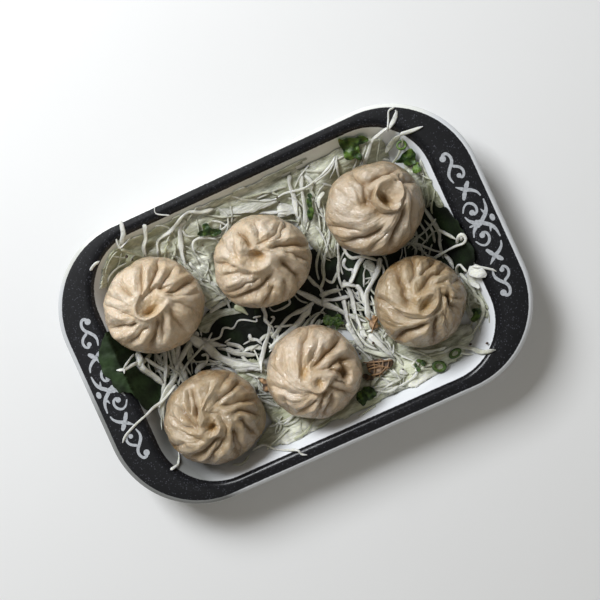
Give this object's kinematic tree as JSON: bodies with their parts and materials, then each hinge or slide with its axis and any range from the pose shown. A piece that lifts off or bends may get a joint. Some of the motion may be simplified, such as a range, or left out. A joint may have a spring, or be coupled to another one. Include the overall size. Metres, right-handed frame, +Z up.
{
  "type": "plate of momo dumplings",
  "caption": "Round pleated steamed dumplings on shredded cabbage and dark leaves, in a low plate with rounded corners and a dark rim.",
  "frame": {"origin": "middle of the plate's footprint, on the surface that it stands on", "axes": "+X along the plate's long side, +Y along its short side, +Z up"},
  "size_m": [0.228, 0.152, 0.0448],
  "materials": {
    "plate": "white melamine with a satin black speckled rim",
    "leaf": "dark green salad leaf, matte and slightly waxy",
    "cabbage": "pale green-white shredded cabbage, wet",
    "dough": "steamed wheat dough, moist, soft gloss"
  },
  "bodies": {
    "root": {"plate": "plate", "leaf_floor": "leaf", "leaf_left": "leaf", "leaf_right": "leaf", "cabbage": "cabbage", "momo_1": "dough", "momo_2": "dough", "momo_3": "dough", "momo_4": "dough", "momo_5": "dough", "momo_6": "dough"}
  },
  "joints": []
}
